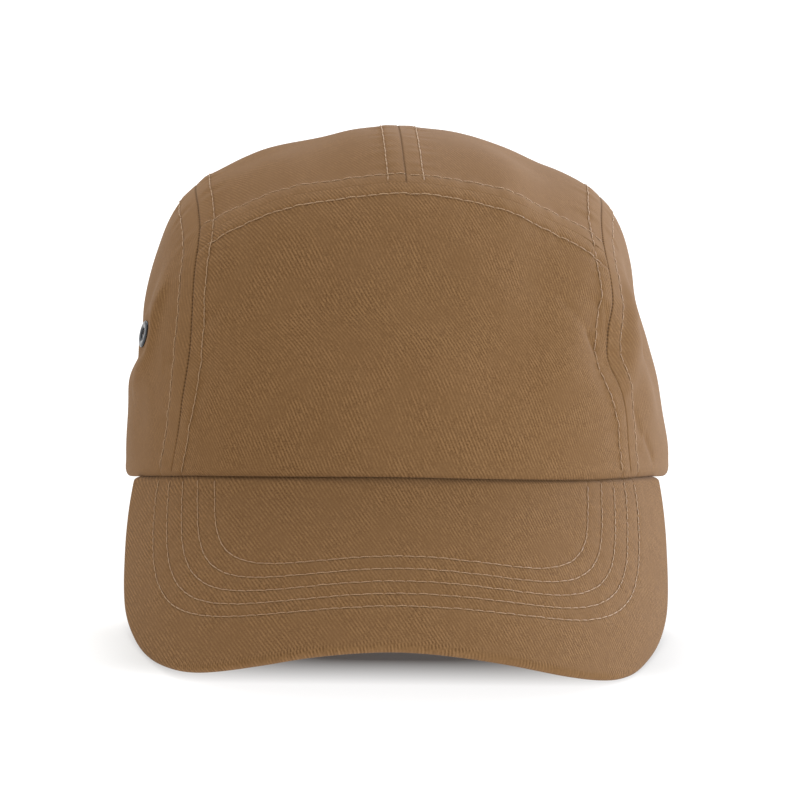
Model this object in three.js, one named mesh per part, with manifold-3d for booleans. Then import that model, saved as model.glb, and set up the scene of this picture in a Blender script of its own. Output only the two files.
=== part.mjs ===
// Jockey cap: a five-panel cloth crown with a curved, stitched peak.
// Millimetres. In the crown's own frame the rim lies in the plane z = 0 and the
// front of the cap looks along -Y, so left and right are as seen from the front.
// The whole cap is then tipped until the peak and the back strap rest on z = 0.

import * as THREE from 'three';
import { mergeVertices } from 'three/addons/utils/BufferGeometryUtils.js';
import Module from 'manifold-3d';

const wasm = await Module();
wasm.setup();

// Driving sizes
const RIM_HALF_WIDTH = 85;
const RIM_HALF_LENGTH = 100;
const CLOTH = 1.5;
const GAP = 0.3;
const SECTION_FULLNESS = 0.65;

const ARCH_HALF_WIDTH = 34;
const ARCH_HEIGHT = 42;

const PEAK_RADIUS = 95;
const PEAK_SLOPE = THREE.MathUtils.degToRad(45);
const PEAK_START = 98.8;
const PEAK_THICK = 3.2;
const PEAK_HALF_WIDTH = 101.4;
const PEAK_LENGTH = 81.4;
const PEAK_CENTRE = -14;
const PEAK_CORNER = { left: 2.42, right: 2.6 };
const PEAK_TUCK = 1.2;
const PEAK_END_DEPTH = 0.8;

const BAND_HEIGHT = 28;
const BAND_THICK = 1.2;
const BAND_END = 46;

const STRAP_WIDTH = 22;
const STRAP_THICK = 1.5;
const STRAP_END = 45;

const EYELET_FLANGE = 4.2;
const EYELET_BARREL = 2.6;
const EYELET_BORE = 1.9;
const EYELET_PLATE = 0.6;
const EYELET_SEAT = 0.5;
const EYELET_SIDES = 16;

const FLATTENED = 0.5;
const HALF_GAP = THREE.MathUtils.radToDeg(GAP / 2 / RIM_HALF_WIDTH);

// Centre line of the crown seen from the side: section angle in degrees from the
// front of the rim over the top to its back, and the reach from the rim's centre.
const PROFILE = [
  { angle: 0, reach: 100 },
  { angle: 12, reach: 101 },
  { angle: 25, reach: 105 },
  { angle: 36, reach: 109.5 },
  { angle: 49, reach: 112.8 },
  { angle: 60, reach: 111.6 },
  { angle: 75, reach: 110.2 },
  { angle: 90, reach: 110 },
  { angle: 105, reach: 112 },
  { angle: 120, reach: 114.5 },
  { angle: 133, reach: 114.2 },
  { angle: 147, reach: 109.5 },
  { angle: 163, reach: 103.4 },
  { angle: 180, reach: 100 },
];

// How far each side stands off the plain curve: climb in degrees from the rim's
// side to the centre line, and the offset on the -X and the +X side.
const SHAPING = [
  { climb: 0, left: 0, right: 0 },
  { climb: 12, left: 0.2, right: -0.4 },
  { climb: 20, left: -0.3, right: -1.1 },
  { climb: 28, left: -2.3, right: -3.2 },
  { climb: 36, left: -0.8, right: -4 },
  { climb: 43, left: 1.3, right: -1.5 },
  { climb: 50, left: 2.8, right: 1 },
  { climb: 57, left: 2.1, right: -0.1 },
  { climb: 62, left: 0.8, right: -2 },
  { climb: 66, left: -0.5, right: -3 },
  { climb: 72, left: -1.5, right: -2 },
  { climb: 78, left: -1.8, right: -1.3 },
  { climb: 84, left: -0.7, right: -0.4 },
  { climb: 90, left: 0.1, right: 0.1 },
];

// X of the two side seams and of the middle seam at each section angle.
const SEAMS = [
  { angle: 0, left: -68.9, middle: 3, right: 71.9 },
  { angle: 10, left: -66.9, middle: 3, right: 70.9 },
  { angle: 18, left: -64.9, middle: 3, right: 70.1 },
  { angle: 24, left: -63.2, middle: 3, right: 68.2 },
  { angle: 30, left: -62.2, middle: 3, right: 64.3 },
  { angle: 36, left: -62, middle: 3, right: 64.6 },
  { angle: 43, left: -61.5, middle: 3, right: 66.1 },
  { angle: 53, left: -60, middle: 3.1, right: 63.9 },
  { angle: 62, left: -60.4, middle: 2.3, right: 63.2 },
  { angle: 77, left: -62, middle: 1.2, right: 63.4 },
  { angle: 90, left: -62.6, middle: 0.6, right: 63.4 },
  { angle: 120, left: -60.5, middle: 0, right: 61 },
  { angle: 150, left: -55, middle: 0, right: 55.4 },
  { angle: 180, left: -51, middle: 0, right: 51 },
];
const FRONT_SEAM = 52.6;

// Soft dents in the crown: the middle of each, the way it runs, half its length,
// half its width and its depth. A negative depth is a raised fold.
const DENTS = [
  { at: [-80, -2, 44.5], run: [0, 1, 0], length: 26, width: 6, depth: 1 },
  { at: [-74, -45, 48], run: [-0.15, -0.1, 1], length: 24, width: 6, depth: -2 },
  { at: [-79, -38, 34], run: [-0.5, 0.5, -1], length: 12, width: 6, depth: -1.4 },
  { at: [-60, -72, 36], run: [-0.55, 0.2, 1], length: 24, width: 9, depth: 1.6 },
  { at: [64, -66, 40], run: [0.8, -0.3, -1], length: 22, width: 8, depth: 2.4 },
  { at: [75, -50, 46], run: [0.2, -0.5, -0.9], length: 19, width: 7, depth: -3.4 },
  { at: [79, -26, 45], run: [0.2, 0.4, -1], length: 20, width: 12, depth: 2.4 },
  { at: [78, -40, 30], run: [0.2, 0.3, -1], length: 16, width: 10, depth: -1.4 },
  { at: [85, -8, 8], run: [0, 1, 0], length: 34, width: 9, depth: -1 },
  { at: [-44, -20, 100], run: [1, 0.5, 0], length: 24, width: 12, depth: 1.2 },
  { at: [40, -24, 100], run: [1, -0.6, 0], length: 22, width: 12, depth: 1.2 },
  { at: [-72, 58, 48], run: [0, 0.4, 1], length: 24, width: 10, depth: 1.6 },
  { at: [72, 60, 50], run: [0, -0.4, 1], length: 24, width: 10, depth: 1.6 },
  { at: [-30, 96, 56], run: [1, 0, -0.5], length: 22, width: 9, depth: 1.5 },
  { at: [28, 96, 62], run: [1, 0, 0.6], length: 20, width: 9, depth: 1.3 },
];

// Eyelets in the side panels: where a line from the rim's centre meets the cloth.
const EYELETS = [
  { name: 'eyelet_left_front', toward: [-78, -40, 44.4] },
  { name: 'eyelet_left_rear', toward: [-77, 34, 45] },
  { name: 'eyelet_right_front', toward: [79, -30, 44.4] },
  { name: 'eyelet_right_rear', toward: [77, 36, 45] },
];

const COLOURS = {
  cloth: { color: 0x8a6742, roughness: 0.9, metalness: 0 },
  band: { color: 0x7d5d3b, roughness: 0.9, metalness: 0 },
  metal: { color: 0x6d6f73, roughness: 0.35, metalness: 1 },
};

// Smooth curve through one column of a table.
function lookUp(table, key, column, at) {
  const last = table.length - 1;
  let i = 0;
  while (i < last - 1 && at > table[i + 1][key]) i += 1;
  const slope = (k) => {
    const before = table[Math.max(k - 1, 0)];
    const after = table[Math.min(k + 1, last)];
    return (after[column] - before[column]) / (after[key] - before[key]);
  };
  const span = table[i + 1][key] - table[i][key];
  const u = THREE.MathUtils.clamp((at - table[i][key]) / span, 0, 1);
  const rise = u * u * (3 - 2 * u);
  return (
    table[i][column] * (1 - rise) +
    table[i + 1][column] * rise +
    span * slope(i) * u * (1 - u) * (1 - u) -
    span * slope(i + 1) * u * u * (1 - u)
  );
}

// Direction from the rim's centre: section angle about X, and climb away from
// the +X side of the rim, 90 on the centre line and 180 at the -X side.
function toward(angle, climb) {
  const a = THREE.MathUtils.degToRad(angle);
  const c = THREE.MathUtils.degToRad(climb);
  return new THREE.Vector3(Math.cos(c), -Math.sin(c) * Math.cos(a), Math.sin(c) * Math.sin(a));
}

// Distance from the rim's centre to the outside of the plain crown.
function plainReach(direction) {
  const side = Math.abs(direction.x);
  const across = Math.hypot(direction.y, direction.z);
  const turn = THREE.MathUtils.clamp(Math.atan2(direction.z, -direction.y), 0, Math.PI);
  const angle = THREE.MathUtils.radToDeg(turn);
  const climb = THREE.MathUtils.radToDeg(Math.atan2(across, side));
  const power = 2 + SECTION_FULLNESS * Math.sin(turn) ** 1.5;
  const reach = lookUp(PROFILE, 'angle', 'reach', angle);
  const plain = ((side / RIM_HALF_WIDTH) ** power + (across / reach) ** power) ** (-1 / power);
  const column = direction.x < 0 ? 'left' : 'right';
  return plain + lookUp(SHAPING, 'climb', column, climb) * Math.sin(turn) ** 1.2;
}

// The same with the dents and folds pressed in.
function crownPoint(direction) {
  const way = direction.clone().normalize();
  const point = way.clone().multiplyScalar(plainReach(way));
  let sunk = 0;
  for (const dent of DENTS) {
    const off = point.clone().sub(new THREE.Vector3(...dent.at));
    const run = new THREE.Vector3(...dent.run).normalize();
    const along = off.dot(run);
    const aside = Math.sqrt(Math.max(off.lengthSq() - along * along, 0));
    sunk += dent.depth * Math.exp(-((along / dent.length) ** 2) - (aside / dent.width) ** 2);
  }
  return point.sub(way.multiplyScalar(sunk));
}

function crownNormal(direction) {
  const step = 0.01;
  const way = direction.clone().normalize();
  const helper = Math.abs(way.z) < 0.8 ? new THREE.Vector3(0, 0, 1) : new THREE.Vector3(0, 1, 0);
  const first = new THREE.Vector3().crossVectors(helper, way).normalize();
  const second = new THREE.Vector3().crossVectors(way, first);
  const slide = (axis, by) => crownPoint(way.clone().addScaledVector(axis, by));
  const along = slide(first, step).sub(slide(first, -step));
  const across = slide(second, step).sub(slide(second, -step));
  return along.cross(across).normalize();
}

// A point of the crown and its outward normal, level at the rim so that the
// bottom edge of the cloth stays in one plane.
function onCrown(direction) {
  const point = crownPoint(direction);
  const normal = crownNormal(direction);
  if (point.z < 0.01) {
    normal.z = 0;
    normal.normalize();
  }
  return { point, normal };
}

// Climb at which a section reaches a given x.
function climbAt(angle, x) {
  let low = 0;
  let high = 180;
  for (let i = 0; i < 40; i += 1) {
    const middle = (low + high) / 2;
    if (crownPoint(toward(angle, middle)).x > x) low = middle;
    else high = middle;
  }
  return (low + high) / 2;
}

function seamClimb(angle, column) {
  return climbAt(angle, lookUp(SEAMS, 'angle', column, angle));
}

// A closed wall: place(u, v) gives the outer and the inner point of each grid
// corner, with the outer side seen anticlockwise as u then v grow.
function wall(across, along, place) {
  const points = [];
  const faces = [];
  const columns = across + 1;
  const layer = columns * (along + 1);
  for (const side of ['outer', 'inner']) {
    for (let j = 0; j <= along; j += 1) {
      for (let i = 0; i <= across; i += 1) {
        points.push(...place(i / across, j / along)[side].toArray());
      }
    }
  }
  const at = (i, j) => j * columns + i;
  const quad = (a, b, c, d) => faces.push(a, b, c, a, c, d);
  for (let j = 0; j < along; j += 1) {
    for (let i = 0; i < across; i += 1) {
      quad(at(i, j), at(i + 1, j), at(i + 1, j + 1), at(i, j + 1));
      quad(
        layer + at(i, j),
        layer + at(i, j + 1),
        layer + at(i + 1, j + 1),
        layer + at(i + 1, j),
      );
    }
  }
  for (let i = 0; i < across; i += 1) {
    quad(at(i + 1, 0), at(i, 0), layer + at(i, 0), layer + at(i + 1, 0));
    quad(at(i, along), at(i + 1, along), layer + at(i + 1, along), layer + at(i, along));
  }
  for (let j = 0; j < along; j += 1) {
    quad(at(0, j), at(0, j + 1), layer + at(0, j + 1), layer + at(0, j));
    quad(at(across, j + 1), at(across, j), layer + at(across, j), layer + at(across, j + 1));
  }
  const geometry = new THREE.BufferGeometry();
  geometry.setAttribute('position', new THREE.Float32BufferAttribute(points, 3));
  geometry.setIndex(faces);
  return geometry;
}

// Two faces of a sheet that lies between two depths under the crown's outside.
function layerOf(direction, from, to) {
  const { point, normal } = onCrown(direction);
  return {
    outer: point.clone().addScaledVector(normal, -from),
    inner: point.clone().addScaledVector(normal, -to),
  };
}

// A panel between two seams, from one section angle to another.
function panelBetween(across, along, from, to, rightEdge, leftEdge) {
  return wall(across, along, (u, v) => {
    const angle = THREE.MathUtils.lerp(from, to, v);
    const right = rightEdge(angle) + HALF_GAP;
    const left = leftEdge(angle) - HALF_GAP;
    return layerOf(toward(angle, THREE.MathUtils.lerp(left, right, u)), 0, CLOTH);
  });
}

function frontPanel() {
  const right = (angle) => seamClimb(angle, 'right');
  const left = (angle) => seamClimb(angle, 'left');
  return panelBetween(18, 13, 0, FRONT_SEAM - HALF_GAP, right, left);
}

// Inner edge of a top panel: the middle seam, then the arch over the back strap.
const ARCH_RISE = THREE.MathUtils.radToDeg(Math.atan2(ARCH_HEIGHT, RIM_HALF_LENGTH));

function archX(angle) {
  const height = THREE.MathUtils.clamp((180 - angle) / ARCH_RISE, 0, 1);
  return ARCH_HALF_WIDTH * Math.sqrt(1 - height * height);
}

// Section angles of the rows of a top panel, closer together round the arch.
function topRow(v) {
  const overArch = 0.66;
  const from = FRONT_SEAM + HALF_GAP;
  if (v < overArch) return THREE.MathUtils.lerp(from, 180 - ARCH_RISE, v / overArch);
  const down = ((v - overArch) / (1 - overArch)) * (Math.PI / 2);
  return 180 - ARCH_RISE * Math.cos(down);
}

function topPanel(side) {
  return wall(9, 27, (u, v) => {
    const angle = topRow(v);
    const middle = lookUp(SEAMS, 'angle', 'middle', angle);
    const inner = climbAt(angle, middle + side * archX(angle)) - side * HALF_GAP;
    const outer = seamClimb(angle, side > 0 ? 'right' : 'left') + side * HALF_GAP;
    const share = side > 0 ? u : 1 - u;
    return layerOf(toward(angle, THREE.MathUtils.lerp(inner, outer, share)), 0, CLOTH);
  });
}

// A side panel is a half disc: its straight edge is the rim, its round edge the
// seam, and the grid is a square bent to that half disc.
function sidePanel(side) {
  return wall(22, 15, (u, v) => {
    const x = (2 * u - 1) * side;
    const flatX = x * Math.sqrt(1 - (v * v) / 2);
    const flatY = v * Math.sqrt(1 - (x * x) / 2);
    const angle = THREE.MathUtils.radToDeg(Math.atan2(flatY, -flatX));
    const size = Math.hypot(flatX, flatY);
    const seam = seamClimb(angle, side > 0 ? 'right' : 'left');
    const reach = (side > 0 ? seam : 180 - seam) - HALF_GAP;
    const climb = side > 0 ? size * reach : 180 - size * reach;
    return layerOf(toward(angle, climb), 0, CLOTH);
  });
}

// Direction to the crown at an azimuth from the front and a height over the rim.
function atHeight(azimuth, height) {
  const way = (tilt) =>
    new THREE.Vector3(
      Math.sin(azimuth) * Math.cos(tilt),
      -Math.cos(azimuth) * Math.cos(tilt),
      Math.sin(tilt),
    );
  let low = 0;
  let high = Math.PI / 3;
  for (let i = 0; i < 30; i += 1) {
    const middle = (low + high) / 2;
    if (crownPoint(way(middle)).z < height) low = middle;
    else high = middle;
  }
  return way(height > 0 ? (low + high) / 2 : 0);
}

// Azimuth at which the back of the rim reaches a given x.
function backAzimuth(x) {
  const y = RIM_HALF_LENGTH * Math.sqrt(1 - (x / RIM_HALF_WIDTH) ** 2);
  return Math.PI - Math.atan2(x, y);
}

function sweatband() {
  const end = backAzimuth(BAND_END);
  const depth = CLOTH + GAP;
  return wall(52, 3, (u, v) => {
    const way = atHeight(THREE.MathUtils.lerp(-end, end, u), v * BAND_HEIGHT);
    return layerOf(way, depth, depth + BAND_THICK);
  });
}

function backStrap() {
  const start = backAzimuth(STRAP_END);
  const depth = CLOTH + GAP;
  return wall(16, 2, (u, v) => {
    const way = atHeight(THREE.MathUtils.lerp(start, 2 * Math.PI - start, u), v * STRAP_WIDTH);
    return layerOf(way, depth, depth + STRAP_THICK);
  });
}

// The peak is cut from a flat board and bent round a cylinder that slopes down
// to the front. Flat sizes: a across it, b forward from the middle of the rim.
const FORWARD = new THREE.Vector3(0, -Math.cos(PEAK_SLOPE), -Math.sin(PEAK_SLOPE));
const UNDER = new THREE.Vector3(0, Math.sin(PEAK_SLOPE), -Math.cos(PEAK_SLOPE));

function bend(a, b) {
  const turn = a / PEAK_RADIUS;
  return new THREE.Vector3(PEAK_RADIUS * Math.sin(turn), -PEAK_START, 0)
    .addScaledVector(FORWARD, b)
    .addScaledVector(UNDER, PEAK_RADIUS * (1 - Math.cos(turn)));
}

function bendUnder(a) {
  const turn = a / PEAK_RADIUS;
  return new THREE.Vector3(-Math.sin(turn), 0, 0).addScaledVector(UNDER, Math.cos(turn));
}

// A point of the flat board, share 0 at its centre and 1 on its outer edge.
function boardPoint(angle, share) {
  const power = Math.cos(angle) < 0 ? PEAK_CORNER.left : PEAK_CORNER.right;
  const across = Math.abs(Math.cos(angle)) / PEAK_HALF_WIDTH;
  const along = Math.abs(Math.sin(angle)) / PEAK_LENGTH;
  const reach = (across ** power + along ** power) ** (-1 / power) * share;
  return { a: reach * Math.cos(angle), b: PEAK_CENTRE + reach * Math.sin(angle) };
}

// Share at which the board dips under the rim.
function rootShare(angle) {
  let low = 0;
  let high = 1;
  for (let i = 0; i < 30; i += 1) {
    const middle = (low + high) / 2;
    const { a, b } = boardPoint(angle, middle);
    if (bend(a, b).z > -GAP) low = middle;
    else high = middle;
  }
  return high;
}

// Angle past the widest part of the board where its edge runs up to the rim.
function peakEnd(side) {
  let low = 0;
  let high = Math.PI / 4;
  for (let i = 0; i < 30; i += 1) {
    const middle = (low + high) / 2;
    const { a, b } = boardPoint(side > 0 ? -middle : Math.PI + middle, 1);
    if (bend(a, b).z < -GAP - PEAK_END_DEPTH) low = middle;
    else high = middle;
  }
  return low;
}

// Shift that carries the board's root from the cylinder to just inside the rim.
function tuck(root) {
  const way = new THREE.Vector3(root.x, root.y, 0).normalize();
  const reach = plainReach(way) - PEAK_TUCK;
  return way.multiplyScalar(reach).sub(new THREE.Vector3(root.x, root.y, 0));
}

function peak() {
  const ends = { left: Math.PI + peakEnd(-1), right: -peakEnd(1) };
  return wall(40, 8, (u, v) => {
    const turn = THREE.MathUtils.lerp(ends.left, ends.right, u);
    const start = rootShare(turn);
    const from = boardPoint(turn, start);
    const { a, b } = boardPoint(turn, THREE.MathUtils.lerp(start, 1, v));
    const fade = (1 - v) * (1 - v);
    const outer = bend(a, b).addScaledVector(tuck(bend(from.a, from.b)), fade);
    const inner = outer.clone().addScaledVector(bendUnder(a), PEAK_THICK);
    if (v === 0) inner.addScaledVector(FORWARD, (inner.z - outer.z) / Math.sin(PEAK_SLOPE));
    return { outer: inner, inner: outer };
  });
}

// An eyelet is a flange outside, a barrel through the cloth and a rolled lip inside.
function eyelet() {
  const face = EYELET_SEAT + EYELET_PLATE;
  const back = -CLOTH - EYELET_SEAT;
  const profile = [
    [EYELET_BORE, back - EYELET_PLATE],
    [EYELET_FLANGE - 0.6, back - EYELET_PLATE],
    [EYELET_FLANGE - 0.6, back],
    [EYELET_BARREL, back],
    [EYELET_BARREL, EYELET_SEAT],
    [EYELET_FLANGE, EYELET_SEAT],
    [EYELET_FLANGE - 0.5, face],
    [EYELET_BORE, face],
    [EYELET_BORE, back - EYELET_PLATE],
  ];
  const points = profile.map(([radius, height]) => new THREE.Vector2(radius, height));
  return new THREE.LatheGeometry(points, EYELET_SIDES);
}

function eyeletPose(direction) {
  const { point, normal } = onCrown(new THREE.Vector3(...direction));
  const turn = new THREE.Quaternion().setFromUnitVectors(new THREE.Vector3(0, 1, 0), normal);
  return new THREE.Matrix4().compose(point, turn, new THREE.Vector3(1, 1, 1));
}

function toManifold(geometry) {
  const bare = geometry.clone();
  bare.deleteAttribute('normal');
  bare.deleteAttribute('uv');
  const merged = mergeVertices(bare, 1e-5);
  return new wasm.Manifold(
    new wasm.Mesh({
      numProp: 3,
      vertProperties: new Float32Array(merged.attributes.position.array),
      triVerts: new Uint32Array(merged.index.array),
    }),
  );
}

function toGeometry(solid) {
  const mesh = solid.getMesh();
  const geometry = new THREE.BufferGeometry();
  geometry.setAttribute('position', new THREE.Float32BufferAttribute(mesh.vertProperties, 3));
  geometry.setIndex(Array.from(mesh.triVerts));
  return geometry;
}

function cut(geometry, tools) {
  const left = tools.reduce((solid, tool) => solid.subtract(toManifold(tool)), toManifold(geometry));
  return toGeometry(left);
}

// Round holes for the eyelets of one side panel.
function eyeletHoles(side) {
  const radius = EYELET_BARREL + GAP;
  return EYELETS.filter(({ toward: way }) => way[0] * side > 0).map(({ toward: way }) =>
    new THREE.CylinderGeometry(radius, radius, 8 * CLOTH, EYELET_SIDES).applyMatrix4(eyeletPose(way)),
  );
}

const shapes = {
  front_panel: frontPanel(),
  top_panel_left: topPanel(-1),
  top_panel_right: topPanel(1),
  side_panel_left: cut(sidePanel(-1), eyeletHoles(-1)),
  side_panel_right: cut(sidePanel(1), eyeletHoles(1)),
  peak: peak(),
  sweatband: sweatband(),
  back_strap: backStrap(),
};

// How the cap stands: nose up by the tilt, then leaning by the roll.
function stance(tilt, roll) {
  const lean = new THREE.Matrix4().makeRotationY(roll);
  return lean.multiply(new THREE.Matrix4().makeRotationX(-tilt));
}

// Height of the lowest corner of a shape on one side of the cap, or on both.
function lowest(geometry, pose, side = 0) {
  const position = geometry.attributes.position;
  const corner = new THREE.Vector3();
  let low = Infinity;
  for (let i = 0; i < position.count; i += 1) {
    corner.fromBufferAttribute(position, i);
    if (corner.x * side >= 0) low = Math.min(low, corner.applyMatrix4(pose).z);
  }
  return low;
}

// Where a rising function crosses zero.
function crossing(rising, from, to) {
  let low = from;
  let high = to;
  for (let i = 0; i < 40; i += 1) {
    const middle = (low + high) / 2;
    if (rising(middle) < 0) low = middle;
    else high = middle;
  }
  return (low + high) / 2;
}

// Tilt and roll at which both corners of the peak and the strap touch together.
function restingStance() {
  const { peak: board, back_strap: strap } = shapes;
  let tilt = Math.PI / 12;
  let roll = 0;
  for (let i = 0; i < 8; i += 1) {
    const noseOverTail = (t) => lowest(board, stance(t, roll)) - lowest(strap, stance(t, roll));
    tilt = crossing(noseOverTail, 0, Math.PI / 4);
    const leftOverRight = (r) =>
      lowest(board, stance(tilt, r), -1) - lowest(board, stance(tilt, r), 1);
    roll = crossing(leftOverRight, -0.1, 0.1);
  }
  return stance(tilt, roll);
}

const STANCE = restingStance();
const GROUND = lowest(shapes.peak, STANCE) + FLATTENED;

// The block of ground under the standing cap, in the crown's own frame.
function ground() {
  const size = 600;
  const block = new THREE.BoxGeometry(size, size, size);
  block.translate(0, 0, GROUND - size / 2);
  return block.applyMatrix4(STANCE.clone().invert());
}

for (const name of ['peak', 'back_strap']) {
  shapes[name] = cut(shapes[name], [ground()]);
}

const crown = new THREE.Group();
const finishOf = (name) => (name === 'sweatband' ? COLOURS.band : COLOURS.cloth);
for (const [name, geometry] of Object.entries(shapes)) {
  const mesh = new THREE.Mesh(geometry, new THREE.MeshStandardMaterial(finishOf(name)));
  mesh.name = name;
  crown.add(mesh);
}
for (const { name, toward: way } of EYELETS) {
  const mesh = new THREE.Mesh(eyelet(), new THREE.MeshStandardMaterial(COLOURS.metal));
  mesh.name = name;
  mesh.applyMatrix4(eyeletPose(way));
  crown.add(mesh);
}

// Stand the cap on z = 0 with its box centred on the origin.
crown.applyMatrix4(STANCE);
crown.position.z = -GROUND;
const cap = new THREE.Group();
cap.add(crown);
cap.updateMatrixWorld(true);
const box = new THREE.Box3().setFromObject(cap, true);
const centre = box.getCenter(new THREE.Vector3());
crown.position.x -= centre.x;
crown.position.y -= centre.y;
cap.updateMatrixWorld(true);

export default cap;
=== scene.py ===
"""Looks of a brown cotton jockey cap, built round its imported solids.

Sizes are millimetres in the crown's own frame, as in the part's source: the rim lies in the
plane z = 0, the front looks along -Y, and left and right are as seen from the front.
to_row() carries points from there to the row frame, in metres.
"""

import math

import bpy
import numpy as np
from mathutils import Matrix, Vector


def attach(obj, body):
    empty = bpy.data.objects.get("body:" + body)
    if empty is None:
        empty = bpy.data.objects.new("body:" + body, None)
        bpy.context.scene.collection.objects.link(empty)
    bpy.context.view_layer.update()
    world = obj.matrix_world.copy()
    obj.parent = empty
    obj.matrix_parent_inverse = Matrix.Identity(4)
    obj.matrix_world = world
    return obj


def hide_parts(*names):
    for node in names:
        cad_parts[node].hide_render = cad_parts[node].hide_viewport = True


MM = 0.001
SEED = 7

# Driving sizes of the part
RIM_HALF_WIDTH = 85
RIM_HALF_LENGTH = 100
CLOTH = 1.5
GAP = 0.3
SECTION_FULLNESS = 0.65
ARCH_HALF_WIDTH = 34
ARCH_HEIGHT = 42
PEAK_RADIUS = 95
PEAK_SLOPE = math.radians(45)
SLOPE_COS = math.cos(PEAK_SLOPE)
SLOPE_SIN = math.sin(PEAK_SLOPE)
PEAK_START = 98.8
PEAK_THICK = 3.2
PEAK_HALF_WIDTH = 101.4
PEAK_LENGTH = 81.4
PEAK_CENTRE = -14
PEAK_CORNER_LEFT = 2.42
PEAK_CORNER_RIGHT = 2.6
PEAK_TUCK = 1.2
PEAK_END_DEPTH = -0.2
BAND_LENGTH = 470
BAND_HEIGHT = 28
BAND_THICK = 1.2
BAND_END = 46
BAND_ROW = 3.5
STRAP_LENGTH = 93
STRAP_WIDTH = 22
STRAP_THICK = 1.5
STRAP_END = 45
STRAP_ROW = 2.6
FRONT_SEAM = 52.6
LAP = math.degrees(0.06 / RIM_HALF_WIDTH)
ARCH_RISE = math.degrees(math.atan2(ARCH_HEIGHT, RIM_HALF_LENGTH))

# Section angle from the front of the rim over the top, and the reach from the rim's centre.
PROFILE = [
    (0, 100), (12, 101), (25, 105), (36, 109.5), (49, 112.8), (60, 111.6), (75, 110.2), (90, 110),
    (105, 112), (120, 114.5), (133, 114.2), (147, 109.5), (163, 103.4), (180, 100),
]

# Climb from the rim's side to the centre line, and the offset on the left and the right.
SHAPING = [
    (0, 0, 0), (12, 0.2, -0.4), (20, -0.3, -1.1), (28, -2.3, -3.2), (36, -0.8, -4), (43, 1.3, -1.5),
    (50, 2.8, 1), (57, 2.1, -0.1), (62, 0.8, -2), (66, -0.5, -3), (72, -1.5, -2), (78, -1.8, -1.3),
    (84, -0.7, -0.4), (90, 0.1, 0.1),
]

# Section angle, and X of the left, the middle and the right seam.
SEAMS = [
    (0, -68.9, 3, 71.9), (10, -66.9, 3, 70.9), (18, -64.9, 3, 70.1), (24, -63.2, 3, 68.2),
    (30, -62.2, 3, 64.3), (36, -62, 3, 64.6), (43, -61.5, 3, 66.1), (53, -60, 3.1, 63.9),
    (62, -60.4, 2.3, 63.2), (77, -62, 1.2, 63.4), (90, -62.6, 0.6, 63.4), (120, -60.5, 0, 61),
    (150, -55, 0, 55.4), (180, -51, 0, 51),
]
LEFT, MIDDLE, RIGHT = 1, 2, 3

# Middle, run, half length, half width and depth of each soft dent; a negative one is a fold.
DENTS = [
    ((-80, -2, 44.5), (0, 1, 0), 26, 6, 1),
    ((-74, -45, 48), (-0.15, -0.1, 1), 24, 6, -2),
    ((-79, -38, 34), (-0.5, 0.5, -1), 12, 6, -1.4),
    ((-60, -72, 36), (-0.55, 0.2, 1), 24, 9, 1.6),
    ((64, -66, 40), (0.8, -0.3, -1), 22, 8, 2.4),
    ((75, -50, 46), (0.2, -0.5, -0.9), 19, 7, -3.4),
    ((79, -26, 45), (0.2, 0.4, -1), 20, 12, 2.4),
    ((78, -40, 30), (0.2, 0.3, -1), 16, 10, -1.4),
    ((85, -8, 8), (0, 1, 0), 34, 9, -1),
    ((-44, -20, 100), (1, 0.5, 0), 24, 12, 1.2),
    ((40, -24, 100), (1, -0.6, 0), 22, 12, 1.2),
    ((-72, 58, 48), (0, 0.4, 1), 24, 10, 1.6),
    ((72, 60, 50), (0, -0.4, 1), 24, 10, 1.6),
    ((-30, 96, 56), (1, 0, -0.5), 22, 9, 1.5),
    ((28, 96, 62), (1, 0, 0.6), 20, 9, 1.3),
]

# Where a line from the rim's centre meets the cloth at each eyelet.
EYELETS = {
    "eyelet_left_front": (-78, -40, 44.4),
    "eyelet_left_rear": (-77, 34, 45),
    "eyelet_right_front": (79, -30, 44.4),
    "eyelet_right_rear": (77, 36, 45),
}
EYELET_BORE = 1.9
EYELET_BARREL = 2.6
EYELET_FLANGE = 4.2
EYELET_SEAT = 0.5
EYELET_PLATE = 0.6
EYELET_SIDES = 48
EYELET_HOLE = 3.1
EYELET_SUNK = -0.3
EYELET_RAISE = -0.35
EYELET_SEAT_REACH = (4.6, 11)
EYELET_LEANS = {"eyelet_left_front": (0, -0.3, 0)}

# Length across and along each kind of piece, and the steps of the grid of its mesh
FRONT_SIZE = (145, 112)
TOP_SIZE = (66, 215)
SIDE_SIZE = (170, 85)
PEAK_SIZE = (330, 78)
MESH_STEP = 0.95
PEAK_STEPS = (1.3, 1.0)
BAND_STEPS = (1.6, 0.8)

# Sewing
SIDE_ROUND = 0.55
MIDDLE_ROUND = 0.4
FRONT_ROUND = 0.22
ARCH_ROUND = 0.7
HEM_ROUND = 3.2
HEM_DEPTH_FRONT = 0.8
HEM_DEPTH_SIDE = 1.42
HEM_DROP = 0.1
ALLOWANCE = 0.45
STITCH_SINK = 0.2
GROOVE_DEPTH = 0.1
# How strongly painted shade darkens the groove beside each row of stitches.
GROOVE_PAINTED_SHADE = 0.05
GROOVE_WIDTH = 0.42
FAR = 99
PUCKER = 0.16
SEAM_ROW = 5.4
LEFT_SIDE_ROW = 7.2
RIGHT_SIDE_ROW = 5.7
ARCH_ROW = 5
STITCH_PITCH = 3.3
STITCH_LENGTH = 3.25
THREAD_RADIUS = 0.18
STITCH_RINGS = 7
STITCH_SIDES = 6
STITCH_STRAY = 0.12
STITCH_SWAY = 0.09

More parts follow.
